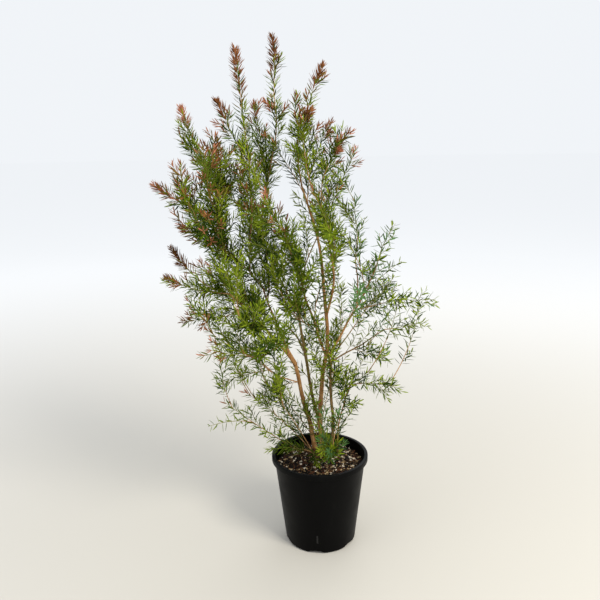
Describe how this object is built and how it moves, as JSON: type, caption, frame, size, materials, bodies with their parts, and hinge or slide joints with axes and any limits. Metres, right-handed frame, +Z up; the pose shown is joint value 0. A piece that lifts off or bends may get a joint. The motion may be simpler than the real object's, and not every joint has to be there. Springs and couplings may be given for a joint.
{
  "type": "potted bottlebrush shrub",
  "caption": "Young bottlebrush shrub with slim brown stems, narrow green leaves and coppery shoot tips, growing in a round black plastic nursery pot.",
  "frame": {"origin": "centre of the pot's flat underside, on the surface it stands on", "axes": "+Z up, +X to the right of the pictured side, +Y towards its back"},
  "size_m": [0.6397, 0.4375, 1.2219],
  "materials": {
    "pot_plastic": "satin black",
    "potting_mix": "damp shredded bark",
    "bark": "finely fissured tan bark",
    "bark_olive": "smooth olive bark",
    "foliage_green": "narrow matt leaves",
    "foliage_bright": "narrow yellow-green leaves",
    "foliage_dark": "narrow dark green leaves",
    "foliage_bluish": "narrow blue-green leaves",
    "foliage_copper": "coppery new leaves over green"
  },
  "bodies": {
    "root": {"pot": "pot_plastic", "soil": "potting_mix", "root_crown": "bark", "stem_left": "bark", "stem_centre": "bark", "stem_back": "bark_olive", "stem_right": "bark", "stem_thin": "bark", "bough_left_arch": "bark", "bough_left_inner": "bark", "bough_left_front": "bark", "bough_left_twig": "bark", "leader": "bark", "bough_centre_left": "bark", "bough_centre_right": "bark", "bough_back_rise": "bark_olive", "bough_right_main": "bark", "bough_right_rise": "bark", "bough_right_low": "bark", "bough_right_back": "bark_olive", "bough_left_back": "bark_olive", "foliage_left_body": "foliage_green", "foliage_left_low": "foliage_green", "foliage_left_lower": "foliage_green", "foliage_left_sweep": "foliage_green", "foliage_left_back": "foliage_dark", "foliage_left_under": "foliage_bright", "foliage_left_twigs": "foliage_green", "foliage_centre_low": "foliage_bright", "foliage_centre_body": "foliage_dark", "foliage_crown_left": "foliage_green", "foliage_crown_mid": "foliage_green", "foliage_crown_front": "foliage_green", "foliage_crown_back": "foliage_dark", "foliage_crown_column": "foliage_green", "foliage_fan_outer": "foliage_copper", "foliage_fan_left": "foliage_copper", "foliage_fan_copper": "foliage_copper", "foliage_fan_front": "foliage_green", "foliage_fan_back": "foliage_green", "foliage_fan_high": "foliage_copper", "foliage_tall_left": "foliage_copper", "foliage_upper_left": "foliage_copper", "foliage_top": "foliage_copper", "foliage_top_centre": "foliage_green", "foliage_top_right": "foliage_copper", "foliage_upper_right": "foliage_green", "foliage_right_shoulder": "foliage_green", "foliage_right_edge": "foliage_copper", "foliage_centre_front": "foliage_bright", "foliage_centre_back": "foliage_dark", "foliage_right_column": "foliage_bluish", "foliage_right_blue": "foliage_bluish", "foliage_right_tip": "foliage_green", "foliage_right_low": "foliage_green", "foliage_right_back": "foliage_dark", "foliage_right_mid": "foliage_green", "foliage_right_under": "foliage_bright", "foliage_foot_left": "foliage_green", "foliage_foot_front": "foliage_bright"}
  },
  "joints": []
}
